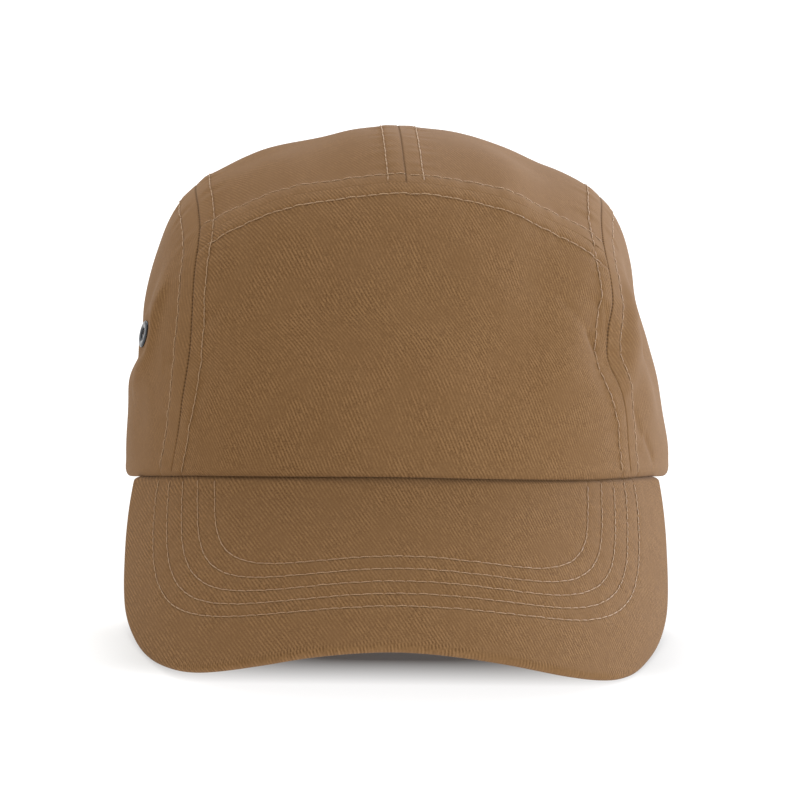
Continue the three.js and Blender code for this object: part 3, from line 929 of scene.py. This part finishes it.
def peak_relief(a, b):
    """Height of the peak's cloth over the plain board, its wear and its sewing."""
    flat = flat_points(a, b).reshape(-1, 3)
    angle = np.linspace(-0.7, math.pi + 0.7, 900)
    away, round_edge = nearest(flat, line_of(flat_points(*board_point(angle, 1))))
    edge = rounding(away, PEAK_EDGE_ROUND, PEAK_EDGE_ROUND - 0.05)
    sunk = np.zeros(len(flat))
    puff = np.zeros(len(flat))
    beside = np.full(len(flat), FAR, float)
    reach = np.hypot(flat[:, 0], flat[:, 1] - PEAK_CENTRE)
    turn = np.arctan2(flat[:, 1] - PEAK_CENTRE, flat[:, 0])
    turn = np.where(turn < -np.pi / 2, turn + 2 * np.pi, turn)
    for k, row in enumerate(PEAK_LINES):
        off, travel = nearest(flat, row)
        outside = np.sign(reach - row_reach(k, turn))
        beside = np.where(off < np.abs(beside), off * outside, beside)
        sunk = np.maximum(sunk, bell(off, 0.9))
        puff = np.maximum(puff, bell(off, 3) * (1 + 0.6 * ripple(travel, row["phase"])))
    height = PEAK_PUFF * puff - STITCH_SINK * sunk - edge
    wear = np.clip(edge / PEAK_EDGE_ROUND, 0, 1) ** 0.5 + 0.25 * puff
    ribs = bell(away - 1.4, 1.6)
    sewing = np.stack([round_edge, 0 * ribs, ribs, beside, np.abs(beside), 0 * ribs], -1)
    return height.reshape(a.shape), wear.reshape(a.shape), sewing.reshape(*a.shape, 6)


def peak():
    ends = (math.pi + peak_end(-1), -peak_end(1))
    across = graded(PEAK_SIZE[0], PEAK_STEPS[0])
    u, v = np.meshgrid(across, graded(PEAK_SIZE[1], PEAK_STEPS[1]))
    angle = ends[0] + (ends[1] - ends[0]) * u
    start = root_share(angle[0])[None]
    a, b = board_point(angle, start + (1 - start) * v)
    top, under = on_peak(a, b)
    height, wear, sewing = peak_relief(a, b)
    from_root = v * (1 - start) * board_reach(angle)
    height = np.maximum(height, -0.3 - 0.4 * from_root)[..., None]
    outer = top - under * height
    bottom = top + under * PEAK_THICK
    level = (bottom[0, :, 2] - top[0, :, 2]) / SLOPE_SIN
    bottom[0] += level[:, None] * np.array([0, -SLOPE_COS, -SLOPE_SIN])
    lower = bottom + under * np.minimum(height, 0.05)
    cloth = np.concatenate([np.stack([a, -b, wear], -1), sewing], -1)
    return shell("peak_cloth", outer[:, ::-1], lower[:, ::-1], cloth[:, ::-1])


# Threads


def stitches(name, rows, seed):
    """One mesh of separate stitches along rows of points with their upward directions."""
    wobble = np.random.default_rng(seed)
    rings, sides = STITCH_RINGS, STITCH_SIDES
    arc = np.linspace(0, 1, rings)
    lift = -0.04 + 0.22 * np.sin(np.pi * arc) ** 0.4
    girth = THREAD_RADIUS * (0.72 + 0.28 * np.sin(np.pi * arc) ** 0.5)
    turn = np.linspace(0, 2 * np.pi, sides, endpoint=False)[:, None]
    points, cloth = [], []
    for row, up in rows:
        length = travelled(row)
        count = int(length[-1] / STITCH_PITCH)
        if count < 1:
            continue
        start = (np.arange(count) + 0.1) * STITCH_PITCH
        start = start + wobble.uniform(-STITCH_STRAY, STITCH_STRAY, count)
        long = STITCH_LENGTH + wobble.uniform(-STITCH_STRAY, STITCH_STRAY, (count, 1))
        at = start[:, None] + arc * long
        centre = points_at(at, length, row)
        above = unit(points_at(at, length, up))
        run = unit(np.gradient(centre, axis=1))
        side = unit(np.cross(run, above))
        above = np.cross(side, run)
        sway = wobble.uniform(-STITCH_SWAY, STITCH_SWAY, (count, 2))
        centre = centre + side * (sway[:, :1] + (sway[:, 1:] - sway[:, :1]) * arc)[..., None]
        centre = centre + above * lift[:, None]
        ring = side[:, :, None] * np.cos(turn) + above[:, :, None] * np.sin(turn)
        points.append((centre[:, :, None] + ring * girth[:, None, None]).reshape(-1, 3))
        around = np.broadcast_to(np.arange(sides) / sides, (count, rings, sides))
        along = np.broadcast_to(at[..., None], (count, rings, sides))
        cloth.append(np.stack([along, around, 0 * around], -1).reshape(-1, 3))
    points = np.concatenate(points)
    total = len(points) // (rings * sides)
    ring, spoke = np.meshgrid(np.arange(rings - 1) * sides, np.arange(sides), indexing="ij")
    following = (spoke + 1) % sides
    wall = [ring + spoke, ring + following, ring + sides + following, ring + sides + spoke]
    wall = np.stack(wall, -1).reshape(-1, 4)
    last = (rings - 1) * sides
    cap = np.array([[0, 5, 4, 3], [0, 3, 2, 1]])
    end_cap = last + np.array([[0, 1, 2, 3], [0, 3, 4, 5]])
    one = np.concatenate([wall, cap, end_cap])[:, ::-1]
    faces = (one[None] + (np.arange(total) * rings * sides)[:, None, None]).reshape(-1, 4)
    return new_mesh(name, points, faces, np.concatenate(cloth))


def sewn_row(line, offset, borders, start=0, end=0):
    """A row beside a seam, between travels from the seam's start and from its end.

    An offset to the left of the seam's run is positive.
    """
    points = line["points"]
    normal = crown_normal(points)
    beside = np.cross(normal, line["run"])
    point, normal = on_crown(points + beside * offset)
    inside = (line["travel"] >= start) & (line["travel"] <= line["travel"][-1] + end)
    inside &= point[:, 2] > 0.8
    point, normal = point[inside], normal[inside]
    height = relief(point, borders)[0]
    return point + normal * height[:, None], normal


def seam_travel(line, angle):
    """Travel along a side seam at a section angle."""
    here = np.degrees(np.arctan2(line["points"][:, 2], -line["points"][:, 1]))
    return float(line["travel"][np.abs(here - angle).argmin()])


def crown_rows():
    """Every row of stitches on the crown's panels."""
    front, left, right = (BORDERS[n] for n in ("front_panel", "top_panel_left", "top_panel_right"))
    rows = []
    for side, word, seam, side_row in SIDES:
        turn = seam_travel(seam, FRONT_SEAM)
        rows += [
            (seam, side * SEAM_ROW, front, 0, turn - seam["travel"][-1]),
            (seam, side * SEAM_ROW, BORDERS["top_panel_" + word], turn),
            (seam, -side * side_row, BORDERS["side_panel_" + word]),
        ]
    half = ACROSS_SEAM["travel"][-1] / 2
    rows += [
        (MIDDLE_SEAM, -SEAM_ROW, right, 1),
        (MIDDLE_SEAM, SEAM_ROW, left, 1),
        (ACROSS_SEAM, SEAM_ROW, front, 1, -1),
        (ACROSS_SEAM, -SEAM_ROW, right, 1, -half),
        (ACROSS_SEAM, -SEAM_ROW, left, half, -1),
        (ARCH, ARCH_ROW, right + left),
    ]
    return [sewn_row(*row) for row in rows]


def peak_thread_rows():
    """Rows of stitches on the top and the underside of the peak."""
    rows = []
    for line in PEAK_LINES:
        a, b = line["points"][:, 0], line["points"][:, 1]
        top, under = on_peak(a, b)
        height = peak_relief(a, b)[0][:, None]
        rows.append((top - under * height, -under))
        rows.append(((top + under * (PEAK_THICK + np.minimum(height, 0.05)))[::-1], under[::-1]))
    return rows


def band_thread_rows(start, end, height, thick, row_at):
    """Two rows of stitches along a strip inside the crown, on both of its faces."""
    rows = []
    for z in (row_at, height - row_at):
        azimuth = np.linspace(start, end, 700)
        point, normal = on_crown(at_height(azimuth, np.full(700, float(z))))
        depth = CLOTH + GAP
        rows.append((point - normal * (depth + thick - 0.25), -normal))
        rows.append((point - normal * (depth + 0.2), normal))
    return rows


# Eyelets


def eyelet(name):
    """A pressed ring with a rolled flange outside, a barrel and a lip inside."""
    centre, axis = eyelet_seat(name)
    face = EYELET_SEAT + EYELET_RAISE
    back = -CLOTH - EYELET_SEAT
    dome = np.linspace(0, np.pi, 13)
    middle = (EYELET_BORE + EYELET_FLANGE) / 2
    half = (EYELET_FLANGE - EYELET_BORE) / 2
    outer = [(middle + half * np.cos(t), face + EYELET_PLATE * np.sin(t) ** 0.8) for t in dome]
    outer.insert(0, (EYELET_FLANGE - 0.15, EYELET_SUNK))
    lip = EYELET_FLANGE - 0.6
    curl = np.linspace(-1.6, 1.6, 7)
    roll = [(lip - 0.25 + 0.25 * np.cos(t), back - 0.3 + 0.3 * np.sin(t)) for t in curl]
    inner = [(EYELET_BORE, 0), (EYELET_BORE, back), (EYELET_BORE + 0.3, back - EYELET_PLATE)]
    profile = np.array(outer + inner + roll + [(EYELET_BARREL, back), (EYELET_BARREL, EYELET_SUNK)])
    helper = unit(np.cross(axis, [0, 0, 1.0]))
    other = np.cross(axis, helper)
    turn = np.linspace(0, 2 * np.pi, EYELET_SIDES, endpoint=False)
    spoke = helper * np.cos(turn)[:, None] + other * np.sin(turn)[:, None]
    points = centre + spoke[:, None] * profile[:, :1] + axis * profile[:, 1:]
    count = len(profile)
    i, j = np.meshgrid(np.arange(EYELET_SIDES), np.arange(count), indexing="ij")
    after, following = (i + 1) % EYELET_SIDES, (j + 1) % count
    faces = [i * count + j, i * count + following, after * count + following, after * count + j]
    faces = np.stack(faces, -1).reshape(-1, 4)
    # The two rings just inside the bore carry a painted highlight.
    painted_bore_highlight = (j >= len(outer)) & (j < len(outer) + 2)
    cloth = np.stack([i * 0.5, j * 0.5, painted_bore_highlight], -1).reshape(-1, 3)
    return new_mesh(name + "_ring", points.reshape(-1, 3), faces, cloth)


# Materials


def fill(node, inputs):
    """Link or set a node's inputs."""
    for key, value in inputs.items():
        if isinstance(value, bpy.types.NodeSocket):
            node.id_data.links.new(value, node.inputs[key])
        else:
            node.inputs[key].default_value = value


def add(tree, kind, inputs=None, **settings):
    """A shader node with its settings and inputs."""
    node = tree.nodes.new(kind)
    for key, value in settings.items():
        setattr(node, key, value)
    fill(node, inputs or {})
    return node


def tree_of(*values):
    """The tree of the first socket among some values."""
    return next(value.id_data for value in values if isinstance(value, bpy.types.NodeSocket))


def maths(operation, *values):
    """Result of a math node; at least one of its values is a socket."""
    inputs = dict(enumerate(values))
    return add(tree_of(*values), "ShaderNodeMath", inputs, operation=operation).outputs[0]


def times(first, second):
    return maths("MULTIPLY", first, second)


def plus(first, second):
    return maths("ADD", first, second)


def waves(value, length):
    return maths("SINE", times(value, 2 * math.pi / length))


def clamped(value):
    """The same result, kept between 0 and 1."""
    value.node.use_clamp = True
    return value


def vector_maths(operation, first, second=(0, 0, 0), output=0):
    inputs = {0: first, 1: second}
    node = add(tree_of(first), "ShaderNodeVectorMath", inputs, operation=operation)
    return node.outputs[output]


def mapped(value, low, high, least, most):
    """How far a value is from low to high, spread from least to most."""
    inputs = {"Value": value, "From Min": low, "From Max": high, "To Min": least, "To Max": most}
    return add(tree_of(value), "ShaderNodeMapRange", inputs).outputs[0]


def mixed(factor, first, second):
    """Colour between two colours, which may be sockets."""
    first, second = ((*c, 1) if isinstance(c, tuple) else c for c in (first, second))
    node = tree_of(factor).nodes.new("ShaderNodeMix")
    node.data_type = "RGBA"
    fill(node, {0: factor, 6: first, 7: second})
    return node.outputs[2]


def new_material(name):
    material = bpy.data.materials.new(name)
    material.use_nodes = True
    return material, material.node_tree, material.node_tree.nodes["Principled BSDF"]


def noise(vector, scale, detail):
    inputs = {"Vector": vector, "Scale": scale, "Detail": detail}
    return add(tree_of(vector), "ShaderNodeTexNoise", inputs).outputs["Fac"]


def attribute(tree, name):
    """A vector that the mesh carries."""
    return add(tree, "ShaderNodeAttribute", attribute_name=name).outputs["Vector"]


def xyz(vector):
    return add(tree_of(vector), "ShaderNodeSeparateXYZ", {0: vector}).outputs


def bumped(height, distance):
    inputs = {"Height": height, "Distance": distance * MM, "Strength": 1.0}
    return add(tree_of(height), "ShaderNodeBump", inputs).outputs[0]


def woven(name, valley, ridge, pitch=1.0, depth=0.15, contrast=2.9):
    """Cotton twill: slanting ridges of uneven yarn, mottled, and paler where it is worn.

    Painted shade darkens the side seams, dotted at the needle holes, and the grooves beside the
    stitch rows; ribs of yarn wrap the edge of the peak, and the cloth sinks under each row of
    stitches.
    """
    material, tree, shader = new_material(name)
    where = attribute(tree, "cloth")
    seam_run, painted_seam_darkness, edge_near = xyz(attribute(tree, "seam"))
    across_row, from_row, _ = xyz(attribute(tree, "row"))
    # Painted shade: dashes of dark at the needle holes along the seams.
    holes = maths("MULTIPLY_ADD", waves(seam_run, NEEDLE_PITCH), *NEEDLE_PAINTED_SHADE)
    ribs = times(waves(seam_run, pitch), times(edge_near, RIB_STRENGTH))
    across_row = times(across_row, 1 / GROOVE_WIDTH)
    groove = maths("EXPONENT", times(times(across_row, across_row), -1.0))
    groove = times(groove, mapped(from_row, 1.2, 2.0, 1.0, 0.0))
    # Painted shade of the seams and of the stitch rows' grooves, whichever is darker.
    holes = maths("MAXIMUM", times(holes, painted_seam_darkness), times(groove, GROOVE_PAINTED_SHADE))
    slant = (math.sin(TWILL_SLANT), math.cos(TWILL_SLANT), 0)
    over = vector_maths("DOT_PRODUCT", where, slant, "Value")
    down = vector_maths("DOT_PRODUCT", where, (slant[1], -slant[0], 0), "Value")
    over = plus(over, times(noise(where, 0.06, 1.0), SWAY))
    stretched = add(tree, "ShaderNodeCombineXYZ", {0: times(over, 1.6), 1: times(down, 0.4)})
    slub = noise(stretched.outputs[0], 1.0, 3.0)
    line = times(waves(over, pitch), mapped(slub, *SLUB_STRENGTH))
    fibre = plus(times(slub, SLUB_SHARE), times(noise(where, 1.9, 2.0), SPECKLE_SHARE))
    yarn = plus(plus(line, fibre), ribs)
    patch = mapped(noise(where, 0.07, 3.0), *PATCHES)
    swing = times(maths("SUBTRACT", yarn, 0.5), times(patch, contrast))
    colour = mixed(clamped(plus(swing, 0.5)), valley, ridge)
    colour = mixed(times(noise(where, 0.16, 4.0), MOTTLE), colour, CLOTH_WORN)
    rubbed = clamped(times(times(xyz(where)["Z"], RUB), noise(where, 0.6, 3.0)))
    colour = mixed(rubbed, colour, CLOTH_WORN)
    height = plus(times(yarn, patch), times(noise(where, 3.0, 3.0), FUZZ))
    height = maths("SUBTRACT", height, times(groove, GROOVE_DEPTH / depth))
    fill(shader, {
        "Base Color": mixed(holes, colour, CREVICE_PAINTED_SHADE_COLOUR),
        "Normal": bumped(height, depth),
        "Roughness": plus(times(slub, 0.12), 0.8),
        "Specular IOR Level": 0.08,
        "Sheen Weight": 0.05,
        "Sheen Roughness": 0.5,
        "Sheen Tint": (1, 0.95, 0.9, 1),
    })
    return material


def thread(name):
    """Two-ply cotton thread: slanting plies along each stitch."""
    material, tree, shader = new_material(name)
    where = attribute(tree, "cloth")
    ply = (2 * math.pi / PLY_LENGTH, 4 * math.pi, 0)
    twist = maths("SINE", vector_maths("DOT_PRODUCT", where, ply, "Value"))
    twist = maths("MULTIPLY_ADD", twist, 0.5, 0.5)
    tone = plus(times(twist, 0.5), times(noise(where, 0.5, 3.0), 0.5))
    fill(shader, {
        "Base Color": mixed(tone, THREAD_DARK, THREAD_LIGHT),
        "Normal": bumped(twist, 0.05),
        "Roughness": 0.62,
        "Sheen Weight": 0.1,
    })
    return material


def nickel(name):
    """Dark nickel plate with fine rub marks, and a painted highlight inside the bore."""
    material, tree, shader = new_material(name)
    marks = noise(add(tree, "ShaderNodeTexCoord").outputs["Object"], 900.0, 3.0)
    painted_bore_highlight = xyz(attribute(tree, "cloth"))["Z"]
    colour = mixed(marks, NICKEL_DARK, NICKEL_PALE)
    fill(shader, {
        "Base Color": mixed(painted_bore_highlight, colour, NICKEL_PAINTED_HIGHLIGHT),
        "Roughness": plus(times(marks, 0.25), 0.1),
        "Metallic": 1,
    })
    return material


# The cap

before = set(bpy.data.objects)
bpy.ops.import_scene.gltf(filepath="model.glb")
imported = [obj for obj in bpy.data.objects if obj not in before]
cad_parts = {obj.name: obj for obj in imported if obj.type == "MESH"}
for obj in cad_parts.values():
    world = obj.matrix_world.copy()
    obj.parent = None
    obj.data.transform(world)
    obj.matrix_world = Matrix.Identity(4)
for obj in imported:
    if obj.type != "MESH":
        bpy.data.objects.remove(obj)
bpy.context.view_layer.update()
TILT, ROLL, TURN, SHIFT = stance()
BAND_PHASE = rng.uniform(0, 2 * np.pi, (2, 4))[0]
PEAK_LINES = peak_rows()
CREASE_ENDS = crease_ends()

twill = woven("cotton_twill", CLOTH_VALLEY, CLOTH_RIDGE)
soft_twill = woven("soft_cotton_twill", CLOTH_VALLEY, CLOTH_RIDGE, contrast=1.5, depth=0.08)
band_cloth = woven("band_cotton", BAND_VALLEY, BAND_RIDGE, pitch=0.8, depth=0.05)
tan_thread = thread("tan_thread")
dark_nickel = nickel("dark_nickel")


def finish_piece(piece, material, slot, *nodes):
    """Material, body and stood-for nodes of a piece."""
    piece.data.materials.append(material)
    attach(piece, "root")
    if nodes:
        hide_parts(*nodes)


finish_piece(front_panel(), twill, "twill", "front_panel")
for side, word, _, _ in SIDES:
    finish_piece(top_panel(side, word), soft_twill, "twill", "top_panel_" + word)
    finish_piece(side_panel(side, word), soft_twill, "twill", "side_panel_" + word)
finish_piece(peak(), twill, "twill", "peak")

band_end = back_azimuth(BAND_END)
strap_end = back_azimuth(STRAP_END)
at_rim = (-band_end, band_end, BAND_HEIGHT, BAND_THICK, BAND_ROW)
at_arch = (strap_end, 2 * math.pi - strap_end, STRAP_WIDTH, STRAP_THICK, STRAP_ROW)
sweatband = band("sweatband_cloth", BAND_LENGTH, *at_rim)
finish_piece(sweatband, band_cloth, "band_cloth", "sweatband")
strap = band("back_strap_cloth", STRAP_LENGTH, *at_arch)
finish_piece(strap, twill, "twill", "back_strap")

finish_piece(stitches("crown_stitches", crown_rows(), 21), tan_thread, "twill")
finish_piece(stitches("peak_stitches", peak_thread_rows(), 22), tan_thread, "twill")
strap_rows = band_thread_rows(*at_arch)
finish_piece(stitches("strap_stitches", strap_rows, 23), tan_thread, "twill")
band_rows = band_thread_rows(*at_rim)
finish_piece(stitches("band_stitches", band_rows[::2], 24), tan_thread, "band_cloth")
for eyelet_name in EYELETS:
    finish_piece(eyelet(eyelet_name), dark_nickel, "eyelet_metal", eyelet_name)

# The studio

FLOOR_SIZE = 8
FLOOR_GLOW = 0.87
FLOOR_COLOUR = (0.31, 0.3, 0.285, 1)
ROOM_LIGHT = 0.82

# Painted shadows on the floor, where its glow is dimmed under the peak, behind the strap and under
# the crown: middle, half size, least and most glow.
FLOOR_PAINTED_SHADOWS = [
    ((0, -0.075, 0), (0.1, 0.03, 1), 0.05, 1),
    ((0, 0.09, 0), (0.08, 0.05, 1), 0.2, 1),
    ((0, 0.03, 0), (0.075, 0.075, 1), 0.1, 1),
]


def studio_floor():
    """A white table that glows, with painted shadows where its glow is dimmed under the cap."""
    half = FLOOR_SIZE / 2
    corners = [(-half, -half, 0), (half, -half, 0), (half, half, 0), (-half, half, 0)]
    mesh = bpy.data.meshes.new("floor")
    mesh.from_pydata(corners, [], [(0, 1, 2, 3)])
    floor = new_object("floor", mesh)
    material, tree, shader = new_material("white_floor")
    where = add(tree, "ShaderNodeTexCoord").outputs["Object"]
    glow = FLOOR_GLOW
    # Each painted shadow dims the glow towards its middle.
    for middle, half_size, least, most in FLOOR_PAINTED_SHADOWS:
        off = vector_maths("SUBTRACT", where, middle)
        off = vector_maths("DIVIDE", off, half_size)
        off = vector_maths("MULTIPLY", off, off)
        reach = maths("SQRT", vector_maths("LENGTH", off, output="Value"))
        glow = times(mapped(reach, 0.28, 1.08, least, most), glow)
    fill(shader, {
        "Emission Strength": glow,
        "Emission Color": (1, 1, 1, 1),
        "Base Color": FLOOR_COLOUR,
        "Roughness": 0.9,
        "Specular IOR Level": 0,
    })
    mesh.materials.append(material)


COOL = (0.86, 1, 1.28)
WHITE = (1, 1, 1)


def soft_light(name, place, size, power, colour):
    """A square area light that looks at the cap; place and size in metres."""
    light = bpy.data.lights.new(name, "AREA")
    light.size = size
    light.energy = power
    light.color = colour
    lamp = new_object(name, light)
    lamp.location = place
    aim = Vector((0, 0, 0.06)) - Vector(place)
    lamp.rotation_euler = aim.to_track_quat("-Z", "Y").to_euler()


def studio_world():
    world = bpy.data.worlds.new("white_room")
    world.use_nodes = True
    fill(world.node_tree.nodes["Background"], {"Color": (1, 1, 1, 1), "Strength": ROOM_LIGHT})
    bpy.context.scene.world = world


def camera():
    """Looks level along the rim, leaning with the cap, so that the rim is level in the picture."""
    data = bpy.data.cameras.new("camera")
    data.sensor_width = SENSOR
    data.lens = FOCAL_PIXELS * SENSOR / PICTURE_SIZE
    data.clip_end = 50
    made = new_object("camera", data)
    rise = TILT + CAMERA_OVER_RIM
    turn = Matrix.Rotation(ROLL, 3, "Y") @ Matrix.Rotation(math.pi / 2 - rise, 3, "X")
    right, up, back = (turn.col[k] for k in range(3))
    per_pixel = CAMERA_DISTANCE / FOCAL_PIXELS
    across = (PICTURE_SIZE / 2 - RIM_CENTRE_PIXEL[0]) * per_pixel
    raised = (RIM_CENTRE_PIXEL[1] - PICTURE_SIZE / 2) * per_pixel
    place = Vector(SHIFT) + right * across + up * raised + back * CAMERA_DISTANCE
    made.matrix_world = Matrix.Translation(place * MM) @ turn.to_4x4()
    bpy.context.scene.camera = made


studio_floor()
studio_world()
soft_light("key", (1.3, -1.0, 0.28), 0.9, 15.2, COOL)
soft_light("right_edge", (1.3, 1.0, 0.2), 0.8, 26, COOL)
soft_light("left_edge", (-1.4, 0.6, 0.4), 0.8, 3, WHITE)
soft_light("overhead", (0, 0.9, 1.15), 1.2, 13, WHITE)
camera()
bpy.context.scene.view_settings.view_transform = "Standard"
